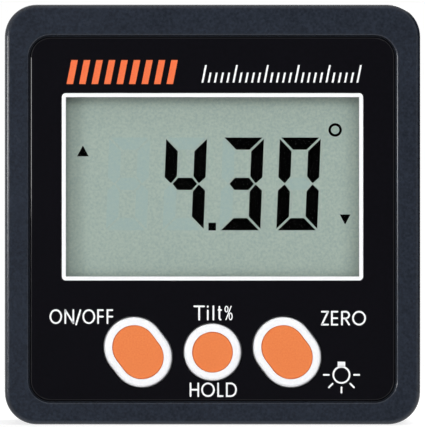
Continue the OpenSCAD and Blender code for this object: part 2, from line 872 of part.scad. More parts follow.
// Cone-shaped coil along +X, widest at X = 0: a ring of wire points is swept up a spiral
module cone_spring(length) {
    sides = 8;
    steps = 56;
    wide_r = plate_half - 2 * spring_wire_r;
    tip_r = wide_r / 2;
    first = spring_wire_r + spring_gap;
    rise = length - 2 * first;
    points = [
        for (i = [0 : steps], k = [0 : sides - 1])
            let (t = i / steps, turn = 360 * spring_turns * t, around = 360 * k / sides)
            let (r = wide_r + (tip_r - wide_r) * t + spring_wire_r * cos(around))
            [first + rise * t + spring_wire_r * sin(around), r * cos(turn), r * sin(turn)]
    ];
    skin = [
        for (i = [0 : steps - 1], k = [0 : sides - 1])
            let (next = (k + 1) % sides)
            [i * sides + k, i * sides + next, (i + 1) * sides + next, (i + 1) * sides + k]
    ];
    ends = [
        [for (k = [sides - 1 : -1 : 0]) k],
        [for (k = [0 : sides - 1]) steps * sides + k]
    ];
    polyhedron(points, concat(skin, ends), convexity = 8);
}

module battery_spring(z, flip) color(steel_grey) mirror([flip ? 1 : 0, 0, 0])
    translate([contact_t - tub_l / 2, front_y + cell_depth, z]) cone_spring(spring_h);

module upper_spring() battery_spring(upper_z, false);
module lower_spring() battery_spring(lower_z, true);

// The base magnets

module magnet_place(side, end) {
    translate([side * magnet_x, front_y + case_d / 2 + end * magnet_y, 0]) children();
}

module magnet(side, end) color(steel_grey) magnet_place(side, end)
    translate([0, 0, magnet_inset]) cylinder(d = magnet_d, h = magnet_t);

module front_left_magnet() magnet(-1, -1);
module front_right_magnet() magnet(1, -1);
module rear_left_magnet() magnet(-1, 1);
module rear_right_magnet() magnet(1, 1);

main_case();
rear_cover();
battery_door();
face_panel();
display_window();
lcd_panel();
lcd_light_guide();
lcd_holder();
upper_connector_strip();
lower_connector_strip();
circuit_board();
controller_chip();
tilt_sensor();
clock_crystal();
backlight_leds();
on_off_switch();
hold_switch();
zero_switch();
on_off_plunger();
hold_plunger();
zero_plunger();
on_off_key();
hold_key();
zero_key();
on_off_cap();
hold_cap();
zero_cap();
board_screws();
cover_screws();
upper_cell();
lower_cell();
bridge_contact();
positive_contact();
negative_contact();
upper_spring();
lower_spring();
front_left_magnet();
front_right_magnet();
rear_left_magnet();
rear_right_magnet();
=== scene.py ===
# %% [markdown]
# # Dressing a digital angle gauge
# The gauge is a pocket-sized plastic box with a display, three keys and a grooved base.
# Its solids arrive as a fixed frame, already in place and at their real size, so this lesson
# never moves them. It gives each one a finish, and adds what is too thin to be a solid:
# the print on the panel and the marks on the display.

# %% The frame
import json

import bpy
import numpy as np
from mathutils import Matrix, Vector

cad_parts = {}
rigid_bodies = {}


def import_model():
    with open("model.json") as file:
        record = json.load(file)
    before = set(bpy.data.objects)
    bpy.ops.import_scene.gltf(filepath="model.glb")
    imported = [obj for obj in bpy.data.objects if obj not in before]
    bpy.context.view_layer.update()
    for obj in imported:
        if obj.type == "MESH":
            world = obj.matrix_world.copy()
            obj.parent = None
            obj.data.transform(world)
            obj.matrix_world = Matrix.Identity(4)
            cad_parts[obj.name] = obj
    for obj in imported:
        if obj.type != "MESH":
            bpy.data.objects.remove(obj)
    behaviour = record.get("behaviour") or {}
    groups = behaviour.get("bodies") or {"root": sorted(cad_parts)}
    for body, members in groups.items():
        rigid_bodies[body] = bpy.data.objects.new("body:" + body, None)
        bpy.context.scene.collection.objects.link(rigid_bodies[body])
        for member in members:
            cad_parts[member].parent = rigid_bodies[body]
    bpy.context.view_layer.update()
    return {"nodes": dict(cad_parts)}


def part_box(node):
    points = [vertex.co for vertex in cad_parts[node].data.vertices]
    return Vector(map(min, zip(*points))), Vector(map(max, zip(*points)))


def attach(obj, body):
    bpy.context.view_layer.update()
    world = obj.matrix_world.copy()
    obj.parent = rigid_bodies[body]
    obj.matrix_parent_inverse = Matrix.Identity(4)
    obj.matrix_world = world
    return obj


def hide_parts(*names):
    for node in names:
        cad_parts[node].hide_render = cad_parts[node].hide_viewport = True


for leftover in list(bpy.data.objects):
    bpy.data.objects.remove(leftover)
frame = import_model()
nodes = frame["nodes"]
print("solids in the frame:", len(nodes))

# %% [markdown]
# ## From the picture to the face
# The face was photographed straight on, so one scale turns picture points into places on it.
# The case shows its full width there, and that width is known: it gives the size of a point.
# Columns count from the left of the picture and rows from its top, from the middle of one
# picture point to the middle of the next.

# %% Picture scale
MM = 0.001
PICTURE_W, PICTURE_H = 425, 427
CASE_LEFT, CASE_RIGHT, CASE_FOOT = 4.15, 419.8, 424.05

case_low, case_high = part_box("main_case")
dot = (case_high.x - case_low.x) / (CASE_RIGHT - CASE_LEFT)
middle_column = (CASE_LEFT + CASE_RIGHT) / 2


def face_place(columns, rows):
    """Across and up on the face, in metres, for picture columns and rows."""
    across = (np.asarray(columns, float) - middle_column) * dot
    up = (CASE_FOOT - np.asarray(rows, float)) * dot
    return np.stack([across, up], axis=-1)


print(f"one picture point is {dot / MM:.4f} mm")

# %% [markdown]
# ## The camera
# A long lens far away keeps the sides of the box out of sight, as in the photograph.
# The lens follows from similar triangles: the sensor's long side stands to the focal length
# as the picture's height on the face stands to the distance.

# %% Camera
CAMERA_AWAY = 1.0
SENSOR = 36.0
SIGHT_FROM, SIGHT_TO = 0.01, 20

camera_data = bpy.data.cameras.new("portrait_camera")
camera = bpy.data.objects.new("portrait_camera", camera_data)
bpy.context.scene.collection.objects.link(camera)
bpy.context.scene.camera = camera
aim = face_place((PICTURE_W - 1) / 2, (PICTURE_H - 1) / 2)
camera.location = (aim[0], case_low.y - CAMERA_AWAY, aim[1])
camera.rotation_euler = (np.pi / 2, 0, 0)
camera_data.sensor_width = SENSOR
camera_data.lens = SENSOR * CAMERA_AWAY / (PICTURE_H * dot)
camera_data.clip_start = SIGHT_FROM
camera_data.clip_end = SIGHT_TO
print(f"lens: {camera_data.lens:.0f} mm")

# %% [markdown]
# ## Thin shapes as arrays
# Ink and display marks are flat bars. A bar could be drawn with curves or text, but a profile
# carried along a path is easier to steer: at each step the section is a small rectangle, its
# corners on a left and a right edge, at a front and a back depth. Whole arrays hold all steps.

# %% Bars between two edges


def bar(left, right, front, back, closed=False):
    """A rectangle carried along two edge curves: corner k of step i joins corner k of step i + 1.
    An open bar gets a face at each end, a closed one joins its last step to its first."""
    left, right = np.asarray(left, float), np.asarray(right, float)
    count = len(left)
    section = np.stack([left, right, right, left], axis=1)
    depth = np.broadcast_to([front, front, back, back], (count, 4))
    points = np.stack([section[..., 0], depth, section[..., 1]], axis=-1).reshape(-1, 3)
    step = np.arange(count if closed else count - 1)[:, None]
    after = (step + 1) % count
    corner = np.arange(4)
    beside = (corner + 1) % 4
    quad = [4 * step + corner, 4 * step + beside, 4 * after + beside, 4 * after + corner]
    faces = np.stack(quad, axis=-1).reshape(-1, 4)
    if not closed:
        last = 4 * (count - 1)
        faces = np.vstack([faces, [[3, 2, 1, 0]], [[last, last + 1, last + 2, last + 3]]])
    return points, faces


plain_bar = bar([(0, 0), (0, 1)], [(1, 0), (1, 1)], 0, 1)
print("a plain bar has", len(plain_bar[1]), "faces")

# %% [markdown]
# ## From arrays to pieces
# A label is many bars but one piece of print. Their points are stacked into one array, and the
# faces of each bar count on from where its points start. They could stay separate objects and be
# joined in the scene, but arrays are joined in one step. A face has an outer side, and a closed
# shape's signed volume tells if all of its faces are turned the right way.

# %% Pieces from shapes


def merged(shapes):
    """Several shapes as one: their points are stacked, and each shape's faces count on from there."""
    starts = np.cumsum([0] + [len(points) for points, _ in shapes[:-1]])
    points = np.vstack([points for points, _ in shapes])
    faces = np.vstack([faces + start for (_, faces), start in zip(shapes, starts)])
    return points, faces


def outward(points, faces):
    """The faces turned to look outwards: the signed volume under all faces is positive then."""
    a, b, c, d = (points[faces[:, k]] for k in range(4))
    under = np.einsum("ij,ij->i", np.cross(a, b), c) + np.einsum("ij,ij->i", np.cross(a, c), d)
    return faces if under.sum() > 0 else faces[:, ::-1]


def add_piece(name, shapes, material, body, smooth=False):
    """A mesh from shapes, each turned outwards, that rides on a body and takes a slot's finish."""
    points, faces = merged([(points, outward(points, faces)) for points, faces in shapes])
    mesh = bpy.data.meshes.new(name)
    mesh.from_pydata(points.tolist(), [], faces.tolist())
    mesh.polygons.foreach_set("use_smooth", np.full(len(faces), smooth))
    mesh.materials.append(material)
    piece = bpy.data.objects.new(name, mesh)
    bpy.context.scene.collection.objects.link(piece)
    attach(piece, body)
    print(f"{name}: {len(shapes)} shapes, {len(faces)} faces")
    return piece


print("two bars as one have", len(merged([plain_bar, plain_bar])[1]), "faces")

# %% [markdown]
# ## Pen strokes
# A letter is a few strokes of one pen. The pen's edges lie half its width to each side of the
# path; at a corner the two normals are added and stretched, so that the stroke keeps its width.
# Free ends are half round, and an end that meets another stroke stops at that stroke's side.

# %% Strokes
FREE, MET, CUT = 1, -1, 0
TIP = np.radians([15, 35, 55, 75, 88])


def mitred(path, closed):
    """Sideways unit offsets: the normals of the legs before and after a point, added and divided
    by one plus their dot product."""
    ahead = np.roll(path, -1, axis=0) - path
    if not closed:
        ahead[-1] = ahead[-2]
    ahead /= np.linalg.norm(ahead, axis=1, keepdims=True)
    normal = np.stack([-ahead[:, 1], ahead[:, 0]], axis=1)
    before = np.roll(normal, 1, axis=0)
    if not closed:
        before[0] = normal[0]
    return (normal + before) / (1 + (normal * before).sum(1, keepdims=True))


def with_ends(path, half, ends):
    """Lengthens or trims both ends of an open path and gives the half width at each point: a free
    end runs on by half a pen, with the cosine of a quarter turn as its width, a met end stops half
    a pen short, and a cut end stays as it is."""
    path, width = np.array(path, float), np.full(len(path), half)
    for end in ends:
        path, width = path[::-1], width[::-1]
        way = path[-1] - path[-2]
        way /= np.linalg.norm(way)
        if end == MET:
            path[-1] -= half * way
        elif end == FREE:
            tip = path[-1] + half * np.outer(np.sin(TIP), way)
            path = np.vstack([path, tip])
            width = np.concatenate([width, half * np.cos(TIP)])
    return path, width


def stroke(path, pen, front, back, closed=False, ends=(FREE, FREE)):
    """A bar that follows a path: its edges are the path plus and minus the mitred offsets."""
    if closed:
        path, width = np.asarray(path, float), np.full(len(path), pen / 2)
    else:
        path, width = with_ends(path, pen / 2, ends)
    side = mitred(path, closed) * width[:, None]
    return bar(path + side, path - side, front, back, closed)


def arc(across, up, half_w, half_h, start, stop, count=33):
    """Points on an ellipse: centre plus half axes times cosine and sine, between two angles."""
    angle = np.radians(np.linspace(start, stop, count))
    return np.stack([across + half_w * np.cos(angle), up + half_h * np.sin(angle)], axis=1)


def ring(across, up, half_w, half_h):
    """A whole ellipse, its last point left off because the path is closed."""
    return arc(across, up, half_w, half_h, 0, 360)[:-1]


print("a free end has", len(TIP), "extra steps")

# %% [markdown]
# ## A colour is written as it looks
# Photographs store colours for the eye, shaders count light. One curve turns the first into
# the second, so the finishes below can be written in the picture's own numbers.

# %% Colours


def paint(red, green, blue):
    """Light for the shader from picture numbers 0 to 255: the standard screen curve undone."""
    tone = np.array([red, green, blue]) / 255
    light = np.where(tone <= 0.04045, tone / 12.92, ((tone + 0.055) / 1.055) ** 2.4)
    return (*light.tolist(), 1.0)


print(f"a half grey is {paint(128, 128, 128)[0]:.2f} in light")

# %% [markdown]
# ## Small steps for node trees
# A finish is a tree of nodes, which could be drawn by hand in the shader editor. Here four steps
# come up again and again: opening a group, adding noise, stretching a span of values, and working
# out a value from two others. As short helpers they let the finishes below read like recipes.
# Noise keeps near its middle, so a finish stretches that middle span over all of its tones.

# %% Node helpers
NOISE_SPAN = (0.3, 0.7)


def new_group(name, inputs, outputs):
    """An empty shader group with its sockets, and the nodes that carry them in and out."""
    tree = bpy.data.node_groups.new(name, "ShaderNodeTree")
    for label, kind in inputs:
        tree.interface.new_socket(label, in_out="INPUT", socket_type=kind)
    for label, kind in outputs:
        tree.interface.new_socket(label, in_out="OUTPUT", socket_type=kind)
    return tree, tree.nodes.new("NodeGroupInput"), tree.nodes.new("NodeGroupOutput")


def noise(tree, coordinates, scale, detail, roughness=0.5):
    """A noise texture on given coordinates; scale is a number, or a socket to link."""
    node = tree.nodes.new("ShaderNodeTexNoise")
    node.inputs["Detail"].default_value = detail
    node.inputs["Roughness"].default_value = roughness
    tree.links.new(coordinates, node.inputs["Vector"])
    if isinstance(scale, (int, float)):
        node.inputs["Scale"].default_value = scale
    else:
        tree.links.new(scale, node.inputs["Scale"])
    return node


def remap(tree, value, low, high, to_low=0.0, to_high=1.0):
    """Stretches one span of values over another, and clamps outside it."""
    node = tree.nodes.new("ShaderNodeMapRange")
    for label, number in zip(("From Min", "From Max", "To Min", "To Max"), (low, high, to_low, to_high)):
        node.inputs[label].default_value = number
    tree.links.new(value, node.inputs["Value"])
    return node.outputs["Result"]


def math(tree, operation, first, second):
    """One sum on two values, each a number or a socket."""
    node = tree.nodes.new("ShaderNodeMath")
    node.operation = operation
    for slot, value in zip(node.inputs, (first, second)):
        if isinstance(value, (int, float)):
            slot.default_value = value
        else:
            tree.links.new(value, slot)
    return node.outputs["Value"]


print("noise is stretched from", *NOISE_SPAN)

# %% [markdown]
# ## Grain that many finishes share
# Moulded plastic repeats the surface of its mould: soft clouds of tone a few millimetres wide,
# and a fine grain under them. Both are noise in the object's own coordinates. They are built
# once as a node group, and each finish sets its own sizes, so plastics differ but belong together.

# %% Node group for moulded surfaces
CLOUD_SHARE = 0.2

moulded, entry, leave = new_group(
    "moulded_surface",
    [("Coordinates", "NodeSocketVector"), ("Clouds", "NodeSocketFloat"), ("Grain", "NodeSocketFloat")],
    [("Tone", "NodeSocketFloat"), ("Height", "NodeSocketFloat"), ("Rub", "NodeSocketFloat")],
)
clouds = noise(moulded, entry.outputs["Coordinates"], entry.outputs["Clouds"], detail=3, roughness=0.6)
grain = noise(moulded, entry.outputs["Coordinates"], entry.outputs["Grain"], detail=2)
speck = remap(moulded, grain.outputs["Fac"], *NOISE_SPAN)
cloud = remap(moulded, clouds.outputs["Fac"], *NOISE_SPAN)
wide = math(moulded, "MULTIPLY", cloud, CLOUD_SHARE)
fine = math(moulded, "MULTIPLY", speck, 1 - CLOUD_SHARE)
tone = math(moulded, "ADD", wide, fine)
moulded.links.new(tone, leave.inputs["Tone"])
moulded.links.new(speck, leave.inputs["Height"])
moulded.links.new(cloud, leave.inputs["Rub"])
print("group:", moulded.name, len(moulded.nodes), "nodes")

# %% [markdown]
# ## One recipe for plastics and inks
# One recipe serves every plastic, rubber and ink here: two close colours blended by the group's
# tone, a roughness that wanders a little, and a bump from the grain. What differs is the
# sizes and how strongly the surface mirrors, and those stay plain numbers on the shader.

# %% Recipe for a moulded finish
RUB = 0.02


def new_finish(name):
    """An empty material: its tree, its shader and the object's own coordinates."""
    material = bpy.data.materials.new(name)
    material.use_nodes = True
    tree = material.node_tree
    tree.nodes.clear()
    surface = tree.nodes.new("ShaderNodeOutputMaterial")
    shader = tree.nodes.new("ShaderNodeBsdfPrincipled")
    tree.links.new(shader.outputs["BSDF"], surface.inputs["Surface"])
    place = tree.nodes.new("ShaderNodeTexCoord").outputs["Object"]
    return material, tree, shader, place


def blend(tree, share, first, second):
    """A colour between two others, each a colour or a socket."""
    node = tree.nodes.new("ShaderNodeMix")
    node.data_type = "RGBA"
    tree.links.new(share, node.inputs["Factor"])
    for label, colour in (("A", first), ("B", second)):
        slot = next(s for s in node.inputs if s.name == label and s.type == "RGBA")
        if isinstance(colour, tuple):
            slot.default_value = colour
        else:
            tree.links.new(colour, slot)
    return next(s for s in node.outputs if s.type == "RGBA")


def raise_surface(tree, shader, height, depth):
    """Feeds a height through a bump into the shader; depth is the bump's real height."""
    bump = tree.nodes.new("ShaderNodeBump")
    bump.inputs["Distance"].default_value = depth
    tree.links.new(height, bump.inputs["Height"])
    tree.links.new(bump.outputs["Normal"], shader.inputs["Normal"])


def moulded_finish(name, dark, light, clouds, grain, depth, roughness, mirror):
    """Two colours blended by the moulded surface's tone, with its rub in the roughness and its
    grain as bump. Clouds and grain are widths in metres."""
    material, tree, shader, place = new_finish(name)
    surface = tree.nodes.new("ShaderNodeGroup")
    surface.node_tree = moulded
    surface.inputs["Clouds"].default_value = 1 / clouds
    surface.inputs["Grain"].default_value = 1 / grain
    tree.links.new(place, surface.inputs["Coordinates"])
    tree.links.new(blend(tree, surface.outputs["Tone"], dark, light), shader.inputs["Base Color"])
    rub = remap(tree, surface.outputs["Rub"], 0, 1, roughness - RUB, roughness + RUB)
    tree.links.new(rub, shader.inputs["Roughness"])
    raise_surface(tree, shader, surface.outputs["Height"], depth)
    shader.inputs["Specular IOR Level"].default_value = mirror
    return material, tree, shader


print("roughness wanders by", RUB)

# %% [markdown]
# ## The plastics and the rubber
# The case comes from a grained mould, and the panel is a smooth print. Both mirror little, because
# the white room in their mirror would turn them grey. The small pieces inside are plain black and
# white mouldings, and strips of rubber join the display to the board. Clouds, grain and depth are
# sizes on the real piece, so a finish keeps its scale on any other piece.

# %% Plastics and rubber
CASE_DARK, CASE_LIGHT = paint(15, 21, 31), paint(34, 41, 53)
PANEL_DARK, PANEL_LIGHT = paint(5, 5, 9), paint(9, 8, 14)
BLACK_DEEP, BLACK_PALE = paint(14, 14, 15), paint(24, 24, 25)
WHITE_COOL, WHITE_WARM = paint(228, 230, 228), paint(240, 241, 238)
RUBBER_DEEP, RUBBER_PALE = paint(38, 36, 38), paint(58, 55, 57)

case_plastic, case_tree, case_shader = moulded_finish(
    "case_plastic", CASE_DARK, CASE_LIGHT,
    clouds=6 * MM, grain=0.35 * MM, depth=0.012 * MM, roughness=0.26, mirror=0.14)
face_print, panel_tree, panel_shader = moulded_finish(
    "face_print", PANEL_DARK, PANEL_LIGHT,
    clouds=12 * MM, grain=0.5 * MM, depth=0.001 * MM, roughness=0.22, mirror=0.04)
black_plastic, _, _ = moulded_finish(
    "black_plastic", BLACK_DEEP, BLACK_PALE,
    clouds=3 * MM, grain=0.2 * MM, depth=0.01 * MM, roughness=0.5, mirror=0.3)
white_plastic, _, _ = moulded_finish(
    "white_plastic", WHITE_COOL, WHITE_WARM,
    clouds=4 * MM, grain=0.3 * MM, depth=0.003 * MM, roughness=0.35, mirror=0.4)
connector_rubber, _, _ = moulded_finish(
    "connector_rubber", RUBBER_DEEP, RUBBER_PALE,
    clouds=2 * MM, grain=0.15 * MM, depth=0.01 * MM, roughness=0.75, mirror=0.2)
print("materials with the plastics:", len(bpy.data.materials))

# %% [markdown]
# ## The keys, the inks and the marks
# The keys are satin, and their rims have a thin clear coat, as a polished mould gives. Inks are
# matt and hide what they cover. The display's marks use the same recipe: a lit one takes nearly
# all light, and a resting one is only a little bluer than the glass round it.

# %% Keys, inks and marks
RIM_WARM, RIM_COOL = paint(252, 251, 252), paint(243, 246, 251)
CAP_DEEP, CAP_BRIGHT = paint(230, 123, 69), paint(238, 136, 78)
INK_WHITE, INK_SHADE = paint(252, 253, 254), paint(243, 245, 247)
INK_ORANGE, INK_AMBER = paint(236, 108, 62), paint(242, 122, 76)
MARK_BLACK, MARK_SOFT = paint(1, 1, 1), paint(3, 3, 3)
REST_TINT, REST_PALE = paint(153, 174, 172), paint(161, 180, 172)
RIM_COAT, RIM_COAT_ROUGHNESS = 0.3, 0.12

key_rim, _, rim_shader = moulded_finish(
    "key_rim", RIM_COOL, RIM_WARM,
    clouds=2.5 * MM, grain=0.25 * MM, depth=0.003 * MM, roughness=0.28, mirror=0.35)
key_cap, _, _ = moulded_finish(
    "key_cap", CAP_DEEP, CAP_BRIGHT,
    clouds=3 * MM, grain=0.22 * MM, depth=0.006 * MM, roughness=0.5, mirror=0.15)
white_ink, _, _ = moulded_finish(
    "white_ink", INK_SHADE, INK_WHITE,
    clouds=1.5 * MM, grain=0.12 * MM, depth=0.002 * MM, roughness=0.5, mirror=0.15)
orange_ink, _, _ = moulded_finish(
    "orange_ink", INK_ORANGE, INK_AMBER,
    clouds=1.5 * MM, grain=0.12 * MM, depth=0.002 * MM, roughness=0.5, mirror=0.15)
lit_mark, _, _ = moulded_finish(
    "lit_mark", MARK_BLACK, MARK_SOFT,
    clouds=2 * MM, grain=0.1 * MM, depth=0.001 * MM, roughness=0.6, mirror=0.0)
rest_mark, _, _ = moulded_finish(
    "rest_mark", REST_TINT, REST_PALE,
    clouds=4 * MM, grain=0.3 * MM, depth=0.001 * MM, roughness=0.5, mirror=0.1)
rim_shader.inputs["Coat Weight"].default_value = RIM_COAT
rim_shader.inputs["Coat Roughness"].default_value = RIM_COAT_ROUGHNESS
print("materials with the inks:", len(bpy.data.materials))

# %% [markdown]
# ## Edges that shine
# Hands and packing rub the rim of a case, so its rounded edges shine more than the flat faces and
# draw a fine line of light. The panel has such a line too: its matt print stops short of the
# border, which stays bare. Both are found by the normal: its Y part is one on the front and back,
# nothing on the sides, and in between on the rounding. A group makes the mask for both finishes.

# %% Node group for rounded edges
LEAVES_SIDE = (0.02, 0.2)
MEETS_FRONT = (0.9, 0.995)
CASE_GLOSS, PANEL_GLOSS = 0.6, 0.8

rounding, entry, leave = new_group(
    "rounded_edge", [("Normal", "NodeSocketVector")], [("Edge", "NodeSocketFloat")])
parts = rounding.nodes.new("ShaderNodeSeparateXYZ")
rounding.links.new(entry.outputs["Normal"], parts.inputs["Vector"])
straight = math(rounding, "ABSOLUTE", parts.outputs["Y"], 0)
off_side = remap(rounding, straight, *LEAVES_SIDE)
off_front = remap(rounding, straight, *MEETS_FRONT, 1, 0)
rounding.links.new(math(rounding, "MULTIPLY", off_side, off_front), leave.inputs["Edge"])


def shining_edge(tree, shader, gloss, roughness):
    """Clear gloss on the rounded edges alone: the group's mask times a strength, as coat."""
    edge = tree.nodes.new("ShaderNodeGroup")
    edge.node_tree = rounding
    normal = tree.nodes.new("ShaderNodeNewGeometry").outputs["Normal"]
    tree.links.new(normal, edge.inputs["Normal"])
    tree.links.new(math(tree, "MULTIPLY", edge.outputs["Edge"], gloss), shader.inputs["Coat Weight"])
    shader.inputs["Coat Roughness"].default_value = roughness


shining_edge(case_tree, case_shader, CASE_GLOSS, roughness=0.18)
shining_edge(panel_tree, panel_shader, PANEL_GLOSS, roughness=0.08)
print("gloss on rounded edges:", CASE_GLOSS, PANEL_GLOSS)

# %% [markdown]
# ## The display glass and its window
# A resting display is a grey-green mirror behind frosted film: cloudy, a little bluish in
# places, with a fine sparkle. The clear window in front is a thin sheet that lets nearly all
# light through. Real refraction would keep lamp light off the display, so the window is made
# see-through by its alpha: almost nothing seen square on, more where the sight grazes it, as
# the gloss of a clear sheet grows there.

# %% Display finishes
CLEAR_SQUARE, CLEAR_GRAZED = 0.015, 0.6
GRAZING_POWER = 5.0
GLASS_GREEN, GLASS_BLUE = paint(170, 185, 174), paint(151, 168, 162)
SHEET_DEEP, SHEET_PALE = paint(10, 12, 12), paint(16, 18, 18)

display_glass, _, _ = moulded_finish(
    "display_glass", GLASS_BLUE, GLASS_GREEN,
    clouds=7 * MM, grain=0.35 * MM, depth=0.001 * MM, roughness=0.45, mirror=0.1)
clear_window, window_tree, window_shader = moulded_finish(
    "clear_window", SHEET_DEEP, SHEET_PALE,
    clouds=9 * MM, grain=0.8 * MM, depth=0.0003 * MM, roughness=0.08, mirror=0.5)
sight = window_tree.nodes.new("ShaderNodeLayerWeight")
grazing = math(window_tree, "POWER", sight.outputs["Facing"], GRAZING_POWER)
window_tree.links.new(remap(window_tree, grazing, 0, 1, CLEAR_SQUARE, CLEAR_GRAZED),
                      window_shader.inputs["Alpha"])
print("window lets through", 1 - CLEAR_SQUARE, "seen square on")

# %% [markdown]
# ## The metals
# Screws, contacts and magnets are plated. Plating is never even: its tone and its height follow
# fine drawn lines. A group of its own makes both, from noise stretched along one axis.

# %% Node group for plated metal
STRETCH = (1.0, 1.0, 9.0)
LINE_DEPTH = 0.003 * MM
PLATING_WEAR = 0.06

plated, entry, leave = new_group(
    "plated_surface",
    [("Coordinates", "NodeSocketVector"), ("Lines", "NodeSocketFloat")],
    [("Tone", "NodeSocketFloat"), ("Height", "NodeSocketFloat")],
)
stretched = plated.nodes.new("ShaderNodeMapping")
stretched.inputs["Scale"].default_value = STRETCH
plated.links.new(entry.outputs["Coordinates"], stretched.inputs["Vector"])
lines = noise(plated, stretched.outputs["Vector"], entry.outputs["Lines"], detail=2)
plated.links.new(remap(plated, lines.outputs["Fac"], *NOISE_SPAN), leave.inputs["Tone"])
plated.links.new(lines.outputs["Fac"], leave.inputs["Height"])


def plated_finish(name, dark, light, lines, roughness):
    """Metal whose colour and roughness follow the drawn lines; lines is their width in metres."""
    material, tree, shader, place = new_finish(name)
    surface = tree.nodes.new("ShaderNodeGroup")
    surface.node_tree = plated
    surface.inputs["Lines"].default_value = 1 / lines
    tree.links.new(place, surface.inputs["Coordinates"])
    tree.links.new(blend(tree, surface.outputs["Tone"], dark, light), shader.inputs["Base Color"])
    worn = remap(tree, surface.outputs["Tone"], 0, 1, roughness - PLATING_WEAR, roughness + PLATING_WEAR)
    tree.links.new(worn, shader.inputs["Roughness"])
    raise_surface(tree, shader, surface.outputs["Height"], LINE_DEPTH)
    shader.inputs["Metallic"].default_value = 1.0
    return material


screw_steel = plated_finish(
    "screw_steel", paint(132, 134, 138), paint(176, 178, 182), lines=0.5 * MM, roughness=0.32)
contact_steel = plated_finish(
    "contact_steel", paint(176, 174, 168), paint(208, 206, 200), lines=0.8 * MM, roughness=0.28)
magnet_plating = plated_finish(
    "magnet_plating", paint(168, 168, 166), paint(204, 203, 200), lines=1.2 * MM, roughness=0.22)
print("metals:", screw_steel.name, contact_steel.name, magnet_plating.name)

# %% [markdown]
# ## The circuit board
# A board is glass laminate under green lacquer, with copper tracks that show as lighter lines.
# A brick pattern turned on its side makes tracks that run, jog and end. Only its own scale and
# the two greens matter here, because the board hides inside the case.

# %% Board finish
TRACK, TRACK_DEPTH = 0.6 * MM, 0.02 * MM
TRACK_LINE, TRACK_RUN, TRACK_PITCH = TRACK / 4, 9 * TRACK, 2 * TRACK
LACQUER_CLOUDS = 5 * MM
LACQUER_DEEP, LACQUER_PALE, TRACK_GREEN = paint(18, 74, 44), paint(26, 92, 56), paint(58, 128, 84)
LACQUER_GLOSS = (0.25, 0.4)


def board_finish():
    """Green lacquer, lighter over a brick pattern of tracks, with the same pattern as bump."""
    material, tree, shader, place = new_finish("board_laminate")
    turn = tree.nodes.new("ShaderNodeMapping")
    turn.inputs["Rotation"].default_value = (np.pi / 2, 0, 0)
    tree.links.new(place, turn.inputs["Vector"])
    tracks = tree.nodes.new("ShaderNodeTexBrick")
    tracks.inputs["Scale"].default_value = 1.0
    tracks.inputs["Mortar Size"].default_value = TRACK_LINE
    tracks.inputs["Brick Width"].default_value = TRACK_RUN
    tracks.inputs["Row Height"].default_value = TRACK_PITCH
    tree.links.new(turn.outputs["Vector"], tracks.inputs["Vector"])
    clouds = noise(tree, place, 1 / LACQUER_CLOUDS, detail=3)
    lacquer = blend(tree, clouds.outputs["Fac"], LACQUER_DEEP, LACQUER_PALE)
    surface = blend(tree, tracks.outputs["Fac"], lacquer, TRACK_GREEN)
    tree.links.new(surface, shader.inputs["Base Color"])
    tree.links.new(remap(tree, clouds.outputs["Fac"], 0, 1, *LACQUER_GLOSS), shader.inputs["Roughness"])
    raise_surface(tree, shader, tracks.outputs["Fac"], TRACK_DEPTH)
    return material


board_laminate = board_finish()
print("board tracks every", TRACK_PITCH / MM, "mm")

# %% [markdown]
# ## The battery cells
# A cell has a plain sleeve with a pale band at its nub end, which shows the way round it goes in,
# and bare steel at both tips. All of that depends only on the distance along the cell, so it is
# worked out from the object's X. The two cells lie head to tail, and the second one counts from
# the other side.

# %% Cell finish
SLEEVE_GAP = 1.2 * MM
BAND = 7 * MM
SCUFF = 1.5 * MM
SLEEVE_GLOSS = (0.2, 0.36)
SLEEVE_DEEP, SLEEVE_PALE = paint(84, 104, 98), paint(102, 122, 114)
BAND_GREY, BARE_STEEL = paint(196, 199, 195), paint(188, 188, 186)


def cell_finish(node):
    """Colour by distance from the nub: steel, then the pale band, then the sleeve."""
    low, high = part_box(node)
    nub_right = (low.x + high.x) > 0
    material, tree, shader, place = new_finish(node + "_jacket")
    split = tree.nodes.new("ShaderNodeSeparateXYZ")
    tree.links.new(place, split.inputs["Vector"])
    if nub_right:
        along = math(tree, "SUBTRACT", high.x, split.outputs["X"])
    else:
        along = math(tree, "SUBTRACT", split.outputs["X"], low.x)
    banded = math(tree, "LESS_THAN", along, BAND)
    inner = math(tree, "GREATER_THAN", along, 2 * SLEEVE_GAP)
    sleeve = math(tree, "MULTIPLY", inner, math(tree, "LESS_THAN", along, high.x - low.x - SLEEVE_GAP))
    scuff = noise(tree, place, 1 / SCUFF, detail=4)
    plain = blend(tree, scuff.outputs["Fac"], SLEEVE_DEEP, SLEEVE_PALE)
    jacket = blend(tree, banded, plain, BAND_GREY)
    tree.links.new(blend(tree, sleeve, BARE_STEEL, jacket), shader.inputs["Base Color"])
    tree.links.new(math(tree, "SUBTRACT", 1.0, sleeve), shader.inputs["Metallic"])
    tree.links.new(remap(tree, scuff.outputs["Fac"], 0, 1, *SLEEVE_GLOSS), shader.inputs["Roughness"])
    return material


cell_jackets = {node: cell_finish(node) for node in ("upper_cell", "lower_cell")}
print("cells dressed:", sorted(cell_jackets))

# %% [markdown]
# ## Dressing the solids
# Each solid already names its material slot. Swapping the slot's placeholder for the finish of
# the same name dresses all of them; only the cells choose by their own names.

